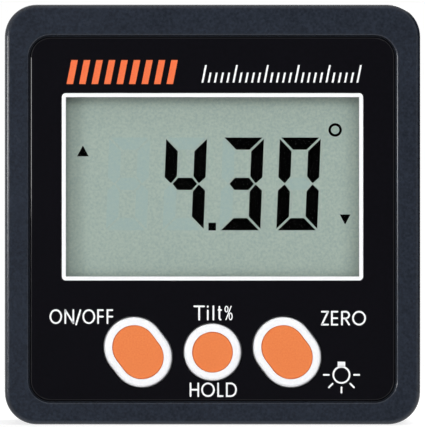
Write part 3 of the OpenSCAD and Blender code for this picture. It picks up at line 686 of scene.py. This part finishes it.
# %% Finishes on the solids
finishes = {
    "case_plastic": case_plastic,
    "face_print": face_print,
    "clear_window": clear_window,
    "display_glass": display_glass,
    "white_plastic": white_plastic,
    "black_plastic": black_plastic,
    "connector_rubber": connector_rubber,
    "board_laminate": board_laminate,
    "key_rim": key_rim,
    "key_cap": key_cap,
    "screw_steel": screw_steel,
    "contact_steel": contact_steel,
    "magnet_plating": magnet_plating,
}
for node, solid in nodes.items():
    for slot in solid.material_slots:
        slot.material = cell_jackets.get(node) or finishes[slot.material.name]
print("finishes in use:", len(finishes) + len(cell_jackets))

# %% [markdown]
# ## The print on the panel
# Screen-printed ink stands a hair above the panel, so it is a piece with a front and a back.
# The white line round the display comes first: between the opening's sharp corners and an
# outer edge with small round ones. Both edges are walked in step, corner by corner. The line
# is centred on the clear window, so it always frames the opening.

# %% Line round the display
INK = 0.02 * MM
LINE_OPENING = np.array([293.4, 179.4])
LINE_WIDTH = 4.0
LINE_ROUND = 4.0
CORNER_STEPS = 9

panel_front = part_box("face_panel")[0].y
ink_front = panel_front - INK
window_low, window_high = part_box("display_window")
window_middle = np.array([window_low.x + window_high.x, window_low.z + window_high.z]) / 2


def walked_edge(size, radius):
    """A rectangle's outline round the window's middle: a quarter circle of a radius at each corner."""
    angle = np.radians(np.linspace(0, 90, CORNER_STEPS) + 90 * np.arange(4)[:, None])
    turn = np.stack([np.cos(angle), np.sin(angle)], axis=-1)
    sign = np.array([[1, 1], [-1, 1], [-1, -1], [1, -1]])[:, None]
    points = sign * (size / 2 - radius) + radius * turn
    return window_middle + dot * points.reshape(-1, 2)


outer_edge = walked_edge(LINE_OPENING + 2 * LINE_WIDTH, LINE_ROUND)
line = bar(outer_edge, walked_edge(LINE_OPENING, 0), ink_front, panel_front, closed=True)
add_piece("display_line", [line], white_ink, "housing")

# %% [markdown]
# ## Lettering for the keys
# The key labels are plain words in a plain upright hand. A font file would do, but a gauge needs
# only fifteen signs: each is a few strokes in a box one unit wide and one high, which a label
# later stretches to its own size. The percent sign is drawn with a finer pen.

# %% A small alphabet
UPRIGHT = ((0, 0), (0, 1))


def drawn(path, ends=(FREE, FREE), closed=False, weight=1.0):
    """One stroke of a letter: its path, how its ends finish, if it closes, and its share of the pen."""
    return np.array(path, float), ends, closed, weight


FINE = 0.6
ROUND = drawn(ring(0.5, 0.5, 0.5, 0.5), closed=True)
BOWL = np.vstack([[[0, 1]], arc(0.5, 0.74, 0.5, 0.26, 90, -90), [[0, 0.48]]])
LOBE = np.vstack([[[0, 0], [0, 1]], arc(0.42, 0.5, 0.58, 0.5, 90, -90)])
HOOK = np.vstack([[[0.36, 0.97]], arc(0.84, 0.16, 0.48, 0.16, 180, 270)])
LETTERS = {
    "O": [ROUND],
    "N": [drawn(UPRIGHT), drawn(((1, 0), (1, 1))), drawn(((0, 1), (1, 0)), (CUT, CUT))],
    "/": [drawn(((0, -0.1), (1, 1)))],
    "F": [drawn(((1, 1), (0, 1), (0, 0))), drawn(((0, 0.5), (1, 0.5)), (MET, FREE))],
    "T": [drawn(((0, 1), (1, 1))), drawn(((0.5, 1), (0.5, 0)), (MET, FREE))],
    "i": [drawn(((0.5, 0), (0.5, 0.68))), drawn(((0.5, 0.96), (0.5, 1.0)))],
    "l": [drawn(((0.5, 0), (0.5, 1)))],
    "t": [drawn(HOOK), drawn(((0, 0.72), (0.36, 0.72)), (FREE, MET)),
          drawn(((0.36, 0.72), (1, 0.72)), (MET, FREE))],
    "%": [drawn(ring(0.2, 0.79, 0.22, 0.21), closed=True, weight=FINE),
          drawn(ring(0.8, 0.24, 0.22, 0.25), closed=True, weight=FINE),
          drawn(((0.12, 0), (0.88, 1)), weight=FINE)],
    "H": [drawn(UPRIGHT), drawn(((1, 0), (1, 1))), drawn(((0, 0.5), (1, 0.5)), (MET, MET))],
    "L": [drawn(((0, 1), (0, 0), (1, 0)))],
    "D": [drawn(LOBE, closed=True)],
    "Z": [drawn(((0, 1), (1, 1))), drawn(((0, 0), (1, 0))), drawn(((1, 1), (0, 0)), (CUT, CUT))],
    "E": [drawn(((1, 1), (0, 1), (0, 0), (1, 0))), drawn(((0, 0.5), (0.95, 0.5)), (MET, FREE))],
    "R": [drawn(UPRIGHT), drawn(BOWL, (MET, MET)), drawn(((0.45, 0.48), (1, 0)), (CUT, FREE))],
}
print("letters drawn:", len(LETTERS))

# %% [markdown]
# ## Setting the labels
# A label stands on a row and gives each of its letters a column and a width. A letter's unit box
# is scaled to that place, and drawn in by half a pen, so that the ink's outer edge fills it. White
# print spreads a little to the eye, so every box shrinks by that spread.

# %% Labels beside the keys
SPREAD = 0.25
PEN = 1.8 * dot
LABELS = {
    "on_off_label": (323.8, 15.3, (
        ("O", 48.7, 13.1), ("N", 63.6, 10.3), ("/", 74.4, 6.6),
        ("O", 81.6, 13.3), ("F", 96.4, 7.0), ("F", 105.8, 7.1))),
    "tilt_label": (320.3, 15.6, (
        ("T", 192.6, 12.0), ("i", 206.1, 2.4), ("l", 211.7, 2.4), ("t", 216.8, 4.9), ("%", 223.5, 9.1))),
    "hold_label": (396.8, 15.0, (
        ("H", 188.9, 10.0), ("O", 200.4, 14.2), ("L", 216.5, 6.8), ("D", 225.2, 11.5))),
    "zero_label": (325.3, 15.2, (
        ("Z", 320.2, 8.5), ("E", 330.3, 7.8), ("R", 340.4, 9.4), ("O", 351.4, 14.4))),
}


def lettering(row, tall, places):
    """The strokes of a label: each letter's unit path scaled to its box, less half a pen all round."""
    shapes = []
    for letter, column, width in places:
        corner = face_place(column + SPREAD, row - SPREAD) + PEN / 2
        size = np.array([width, tall]) * dot - 2 * SPREAD * dot - PEN
        for path, ends, closed, weight in LETTERS[letter]:
            shapes.append(stroke(corner + path * size, PEN * weight, ink_front, panel_front, closed, ends))
    return shapes


for name, label in LABELS.items():
    add_piece(name, lettering(*label), white_ink, "housing")

# %% [markdown]
# ## The lamp sign
# A small lamp with rays says that the last key also lights the display. It is a ring and five
# rays, drawn with the labels' pen, and a cap on the ring, which is one broad stroke.

# %% Lamp sign
LAMP_COLUMN, LAMP_ROW = 341.0, 374.4
LAMP_RADIUS = 8.1
CAP_ROWS = (361.2, 366.2)
CAP_WIDTH = 7.6
RAY_FROM, RAY_TO = 12.6, 17.7
RAY_ANGLES = np.radians([180, 225, 270, 315, 360])

lamp = [stroke(face_place(*(ring(LAMP_COLUMN, LAMP_ROW, LAMP_RADIUS, LAMP_RADIUS).T)), PEN,
               ink_front, panel_front, closed=True)]
lamp.append(stroke(face_place([LAMP_COLUMN, LAMP_COLUMN], CAP_ROWS), CAP_WIDTH * dot, ink_front, panel_front,
                   ends=(CUT, CUT)))
for angle in RAY_ANGLES:
    reach = np.array([RAY_FROM, RAY_TO])
    ray = face_place(LAMP_COLUMN + reach * np.cos(angle), LAMP_ROW - reach * np.sin(angle))
    lamp.append(stroke(ray, PEN, ink_front, panel_front))
add_piece("lamp_sign", lamp, white_ink, "housing")

# %% [markdown]
# ## The strip above the display
# The strip above the display carries a plain tilt scale: leaning orange bars on the left, and
# white graduation ticks on the right, every fifth one longer. Ticks repeat, so a loop draws them.

# %% Tilt scale
LEAN = 0.2
BAR_ROWS = (59.5, 83.5)
BAR_COLUMNS = np.linspace(66, 166, 9)
BAR_WIDTH = 6.5
TICK_FOOT, TICK_LONG, TICK_SHORT = 82.0, 17.5, 10.0
TICK_COLUMNS = np.linspace(201, 356, 26)
TICK_WIDTH = 1.9
LONG_EVERY = 5


def leaning(column, foot, tall, width):
    """An upright bar sheared to the right: its top lies further along by the lean times its height."""
    shift = LEAN * tall
    left = face_place([column, column + shift], [foot, foot - tall])
    right = face_place([column + width, column + width + shift], [foot, foot - tall])
    return bar(left, right, ink_front, panel_front)


bars = [leaning(column, BAR_ROWS[1], BAR_ROWS[1] - BAR_ROWS[0], BAR_WIDTH) for column in BAR_COLUMNS]
add_piece("tilt_bars", bars, orange_ink, "housing")
ticks = [
    leaning(column, TICK_FOOT, TICK_SHORT if index % LONG_EVERY else TICK_LONG, TICK_WIDTH)
    for index, column in enumerate(TICK_COLUMNS)
]
add_piece("tilt_ticks", ticks, white_ink, "housing")

# %% [markdown]
# ## Seven segments
# A display digit is seven bars with mitred ends. Three are laid out, in points of an upright digit,
# each as a left and a right edge from the top down. Mirroring in the digit's middle gives the other
# four, and a shear gives the slight lean.

# %% One digit
DIGIT_W, DIGIT_H = 41.0, 93.0
THICK = 12.2
MITRE_GAP = 1.5
TIP_GAP, TIP_WIDTH = 0.9, 0.4
WAIST_OUT, WAIST_IN = 6.6, 7.6
WAIST_TIP = 6.5
MID_TIP, MID_FLAT = 8.2, 13.4
DIGIT_LEAN = 3.6 / DIGIT_H

half_h = DIGIT_H / 2
top_bar = (
    [(MITRE_GAP, DIGIT_H), (THICK + MITRE_GAP, DIGIT_H - THICK)],
    [(DIGIT_W - MITRE_GAP, DIGIT_H), (DIGIT_W - THICK - MITRE_GAP, DIGIT_H - THICK)])
upper_left = (
    [(0, DIGIT_H - MITRE_GAP), (0, half_h + WAIST_OUT), (WAIST_TIP - TIP_WIDTH, half_h + TIP_GAP)],
    [(THICK, DIGIT_H - THICK - MITRE_GAP), (THICK, half_h + WAIST_IN),
     (WAIST_TIP + TIP_WIDTH, half_h + TIP_GAP)])
middle_bar = (
    [(MID_FLAT, half_h + THICK / 2), (MID_TIP, half_h), (MID_FLAT, half_h - THICK / 2)],
    [(DIGIT_W - MID_FLAT, half_h + THICK / 2), (DIGIT_W - MID_TIP, half_h),
     (DIGIT_W - MID_FLAT, half_h - THICK / 2)])


def mirrored(segment, across, up):
    """A segment's two edges flipped left to right, top to foot, or both."""
    size = np.array([DIGIT_W, DIGIT_H])
    flip = np.array([across, up])
    return tuple(flip * size + (1 - 2 * flip) * np.array(edge) for edge in segment)


SEGMENTS = {
    "top": top_bar,
    "upper_left": upper_left,
    "upper_right": mirrored(upper_left, 1, 0),
    "middle": middle_bar,
    "lower_left": mirrored(upper_left, 0, 1),
    "lower_right": mirrored(upper_left, 1, 1),
    "bottom": mirrored(top_bar, 0, 1),
}
print("segments:", ", ".join(SEGMENTS))

# %% [markdown]
# ## The reading
# The display shows a plain angle. Lit bars are black; resting ones are only a faint bluish tint,
# and a fourth digit rests whole at the left. Both lie on the glass, a hair in front of it.

# %% Digits on the glass
MARK = 0.015 * MM
DIGIT_FOOT = 229.8
DIGIT_PITCH = 57.0
DIGIT_LEFT = 105.0
LIT = [
    "",
    "upper_left upper_right middle lower_right",
    "top upper_right middle lower_right bottom",
    "top upper_left upper_right lower_left lower_right bottom",
]

glass_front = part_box("lcd_panel")[0].y
mark_front = glass_front - MARK


def on_glass(points):
    """Digit points, in columns and rows of the picture, as places on the glass."""
    points = np.asarray(points, float)
    return face_place(points[..., 0], points[..., 1])


def digit_segment(edges, left):
    """A segment at its digit: sheared by the lean, and counted up from the digit's foot."""
    placed = []
    for edge in edges:
        edge = np.array(edge, float)
        columns = left + edge[:, 0] + DIGIT_LEAN * edge[:, 1]
        placed.append(on_glass(np.stack([columns, DIGIT_FOOT - edge[:, 1]], axis=1)))
    return bar(*placed, mark_front, glass_front)


lit, resting = [], []
for index, names in enumerate(LIT):
    left = DIGIT_LEFT + index * DIGIT_PITCH
    for name, edges in SEGMENTS.items():
        (lit if name in names.split() else resting).append(digit_segment(edges, left))
add_piece("resting_segments", resting, rest_mark, "housing")

# %% [markdown]
# ## The small marks on the glass
# A ring for degrees, a square point, and two small arrows that tell which way to tilt.

# %% Ring, point and arrows
DEGREE_COLUMN, DEGREE_ROW, DEGREE_RADIUS, DEGREE_PEN = 335.0, 129.2, 5.5, 2.6
POINT_BOX = (207.9, 222.2, 215.5, 230.0)
ARROWS = [(82.0, 155.7, 145.3, 5.9), (345.0, 214.0, 223.6, 5.4)]
ARROW_TIP = 0.3

degree = on_glass(ring(DEGREE_COLUMN, DEGREE_ROW, DEGREE_RADIUS, DEGREE_RADIUS))
lit.append(stroke(degree, DEGREE_PEN * dot, mark_front, glass_front, closed=True))
left, top, right, foot = POINT_BOX
lit.append(bar(
    on_glass([(left, top), (left, foot)]),
    on_glass([(right, top), (right, foot)]), mark_front, glass_front))
for column, base_row, tip_row, half in ARROWS:
    lit.append(bar(
        on_glass([(column - half, base_row), (column - ARROW_TIP, tip_row)]),
        on_glass([(column + half, base_row), (column + ARROW_TIP, tip_row)]), mark_front, glass_front))
add_piece("lit_segments", lit, lit_mark, "housing")

# %% [markdown]
# ## The battery springs
# A battery spring is a cone of round wire. As a solid it has few sides, so here the same coil is
# worked out again, finely: one parameter runs along the coil, the other round the wire.

# %% Springs
WIRE = 0.25 * MM
COIL_WIDE, COIL_TIP = 3.1 * MM, 1.55 * MM
COIL_TURNS = 3.5
COIL_STEPS, WIRE_SIDES = 420, 14


def coil(node, cell, facing):
    """Axis place plus a radius that shrinks along the coil: the wire's ring lies across the turn,
    cosine outwards and sine along the axis. Facing is the way from the plate to the cell."""
    low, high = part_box(node)
    axis_low, axis_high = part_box(cell)
    base, tip = (low.x, high.x) if facing > 0 else (high.x, low.x)
    share = np.linspace(0, 1, COIL_STEPS)[:, None]
    turn = facing * 2 * np.pi * COIL_TURNS * share
    round_wire = np.linspace(0, 2 * np.pi, WIRE_SIDES, endpoint=False)[None, :]
    radius = COIL_WIDE + (COIL_TIP - COIL_WIDE) * share + WIRE * np.cos(round_wire)
    centre = base + facing * WIRE + (tip - base - 2 * facing * WIRE) * share
    along = centre + facing * WIRE * np.sin(round_wire)
    sideways = (axis_low.y + axis_high.y) / 2 + radius * np.cos(turn)
    upwards = (axis_low.z + axis_high.z) / 2 + facing * radius * np.sin(turn)
    return np.stack([along, sideways, upwards], axis=-1)


def tube(grid):
    """Quads between neighbouring rings of a grid of points, with a fan of quads at each end."""
    steps, sides = grid.shape[:2]
    index = np.arange(steps * sides).reshape(steps, sides)
    beside = np.roll(index, -1, axis=1)
    walls = np.stack([index[:-1], beside[:-1], beside[1:], index[1:]], axis=-1).reshape(-1, 4)
    pairs = np.arange(sides // 2 - 1)
    lid = np.stack([pairs, pairs + 1, sides - 2 - pairs, sides - 1 - pairs], axis=1)
    ends = np.vstack([lid[:, ::-1], lid + index[-1, 0]])
    return grid.reshape(-1, 3), np.vstack([walls, ends])


for name, cell, facing in (("upper_spring", "upper_cell", 1), ("lower_spring", "lower_cell", -1)):
    spring = add_piece(name + "_coil", [tube(coil(name, cell, facing))], contact_steel,
                       "housing", smooth=True)
    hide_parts(name)

# %% [markdown]
# ## Light
# The photograph was lit by soft panels in front of the face: one at the left, a weaker one at the
# right, one higher and one lower. The sunk display shows them, since each of its sides lies in the
# shade of the panel beyond it. Three more serve the top, the back and the base. All but the back
# panel are kept out of mirrors. A low strip beside the case is seen in mirrors only: it draws a
# bright line on every rounded edge that looks its way, and it is no higher than the case, so the
# flat top never mirrors it. Lamps are set by the light they bring: an area lamp's power is its
# share of full light times the square of pi times its distance.

# %% Lamps
FACE = Vector((0.0, case_low.y, (case_low.z + case_high.z) / 2))


def add_lamp(name, way, away, width, height, share):
    """A panel that looks at the face from a direction and a distance. Its share is the light that
    it brings to a surface square to it, where one shows a colour as it is written."""
    data = bpy.data.lights.new(name, "AREA")
    data.shape = "RECTANGLE"
    data.size = width
    data.size_y = height
    data.energy = share * (np.pi * away) ** 2
    lamp = bpy.data.objects.new(name, data)
    lamp.location = FACE + away * Vector(way).normalized()
    lamp.rotation_euler = (-Vector(way)).to_track_quat("-Z", "Y").to_euler()
    lamp.visible_camera = False
    bpy.context.scene.collection.objects.link(lamp)
    print(f"{name}: {data.energy:.2f} W")
    return lamp


unmirrored = [
    add_lamp("left_panel", (-0.95, -1.0, 0.1), away=1.1, width=0.4, height=0.4, share=0.32),
    add_lamp("right_panel", (0.65, -1.0, 0.1), away=1.2, width=0.5, height=0.5, share=0.22),
    add_lamp("front_panel", (0.0, -1.0, 0.45), away=1.4, width=0.8, height=0.5, share=0.31),
    add_lamp("foot_panel", (-0.2, -1.0, -0.3), away=1.2, width=0.6, height=0.4, share=0.17),
    add_lamp("base_panel", (0.0, 0.15, -1.0), away=1.0, width=0.4, height=0.4, share=0.5),
    add_lamp("top_panel", (0.0, -0.5, 1.0), away=1.2, width=0.8, height=0.8, share=0.22),
]
for panel in unmirrored:
    panel.visible_glossy = False
add_lamp("back_panel", (0.5, 1.0, 0.9), away=1.2, width=0.6, height=0.6, share=0.5)
edge_strip = add_lamp("edge_strip", (-0.95, -1.0, 0.075), away=0.3, width=0.25, height=0.03, share=0.52)
edge_strip.visible_diffuse = False

# %% [markdown]
# ## The white room
# The background is plain white. The world is white wherever the camera, a reflection or a clear
# piece looks straight at it, and a dark grey where it only lights the object, so a white background
# adds little light.

# %% World
AMBIENT = 0.12


def seen_directly(tree):
    """One for rays that look at the background: from the camera, a mirror or a clear piece."""
    rays = tree.nodes.new("ShaderNodeLightPath").outputs
    either = math(tree, "MAXIMUM", rays["Is Camera Ray"], rays["Is Glossy Ray"])
    return math(tree, "MAXIMUM", either, rays["Is Transmission Ray"])


world = bpy.data.worlds.new("white_room")
bpy.context.scene.world = world
world.use_nodes = True
room = world.node_tree
room.nodes.clear()
soft, plain = room.nodes.new("ShaderNodeBackground"), room.nodes.new("ShaderNodeBackground")
soft.inputs["Strength"].default_value = AMBIENT
soft.inputs["Color"].default_value = (1, 1, 1, 1)
plain.inputs["Color"].default_value = (1, 1, 1, 1)
either = room.nodes.new("ShaderNodeMixShader")
room.links.new(seen_directly(room), either.inputs["Fac"])
room.links.new(soft.outputs["Background"], either.inputs[1])
room.links.new(plain.outputs["Background"], either.inputs[2])
room.links.new(either.outputs["Shader"], room.nodes.new("ShaderNodeOutputWorld").inputs["Surface"])
print("soft light in the room:", AMBIENT)

# %% [markdown]
# ## The floor
# The floor is a sheet of grey paper that keeps the shadow and fades out further away. Whoever
# looks straight at it sees white added, like the room's. From below the sheet is clear and lets
# light through, so that the base with its groove and magnets can be looked at. It lies a hair
# under the base, because two faces in one place would flicker.

# %% Floor
FLOOR_HALF = 0.5
FLOOR_DROP = 0.05 * MM
FADE_FROM, FADE_TO = 0.12, 0.4
FLOOR_GLOW = 0.77
FIBRE = 2 * MM
PAPER_DEEP, PAPER_PALE = paint(172, 172, 172), paint(180, 180, 180)
PAPER_ROUGHNESS, PAPER_MIRROR = 0.8, 0.1


def floor_finish():
    """Grey paper whose alpha falls from one to nothing between two distances from the middle, and
    is nothing from below. To rays that look straight at it, plain white is added as a glow."""
    material, tree, shader, place = new_finish("floor_paper")
    far = tree.nodes.new("ShaderNodeVectorMath")
    far.operation = "LENGTH"
    tree.links.new(place, far.inputs[0])
    fade = remap(tree, far.outputs["Value"], FADE_FROM, FADE_TO, 1, 0)
    under = tree.nodes.new("ShaderNodeNewGeometry").outputs["Backfacing"]
    above = math(tree, "SUBTRACT", 1.0, under)
    tree.links.new(math(tree, "MULTIPLY", fade, above), shader.inputs["Alpha"])
    fibres = noise(tree, place, 1 / FIBRE, detail=4)
    paper = blend(tree, fibres.outputs["Fac"], PAPER_DEEP, PAPER_PALE)
    tree.links.new(paper, shader.inputs["Base Color"])
    shader.inputs["Roughness"].default_value = PAPER_ROUGHNESS
    shader.inputs["Specular IOR Level"].default_value = PAPER_MIRROR
    shader.inputs["Emission Color"].default_value = (1, 1, 1, 1)
    glow = math(tree, "MULTIPLY", seen_directly(tree), FLOOR_GLOW)
    tree.links.new(glow, shader.inputs["Emission Strength"])
    return material


corners = FLOOR_HALF * np.array([[-1, -1, 0], [1, -1, 0], [1, 1, 0], [-1, 1, 0]])
corners[:, 2] -= FLOOR_DROP
floor_mesh = bpy.data.meshes.new("floor")
floor_mesh.from_pydata(corners.tolist(), [], [(0, 1, 2, 3)])
floor_mesh.materials.append(floor_finish())
floor = bpy.data.objects.new("floor", floor_mesh)
bpy.context.scene.collection.objects.link(floor)
floor.visible_shadow = False
print("floor fades out at", FADE_TO, "m")

# %% [markdown]
# ## A dark card beside the case
# Photographers set a dark card beside a dark thing on white. Nobody sees the card, but the
# rounded edge on that side mirrors it, and so stands out from the white ground.

# %% Dark card
CARD_AWAY = 0.3
CARD_FRONT, CARD_BACK = -0.18, 0.8
CARD_TALL = 0.4

card_corners = np.array([[CARD_AWAY, CARD_FRONT, 0], [CARD_AWAY, CARD_BACK, 0],
                         [CARD_AWAY, CARD_BACK, CARD_TALL], [CARD_AWAY, CARD_FRONT, CARD_TALL]])
card_mesh = bpy.data.meshes.new("dark_card")
card_mesh.from_pydata(card_corners.tolist(), [], [(0, 3, 2, 1)])
card_mesh.materials.append(connector_rubber)
card = bpy.data.objects.new("dark_card", card_mesh)
bpy.context.scene.collection.objects.link(card)
card.visible_camera = card.visible_diffuse = card.visible_shadow = card.visible_transmission = False
print("card stands", CARD_AWAY, "m to the right")

# %% [markdown]
# ## Colour view
# Colours are shown as they were written, without a film look.

# %% Colour view
bpy.context.scene.view_settings.view_transform = "Standard"
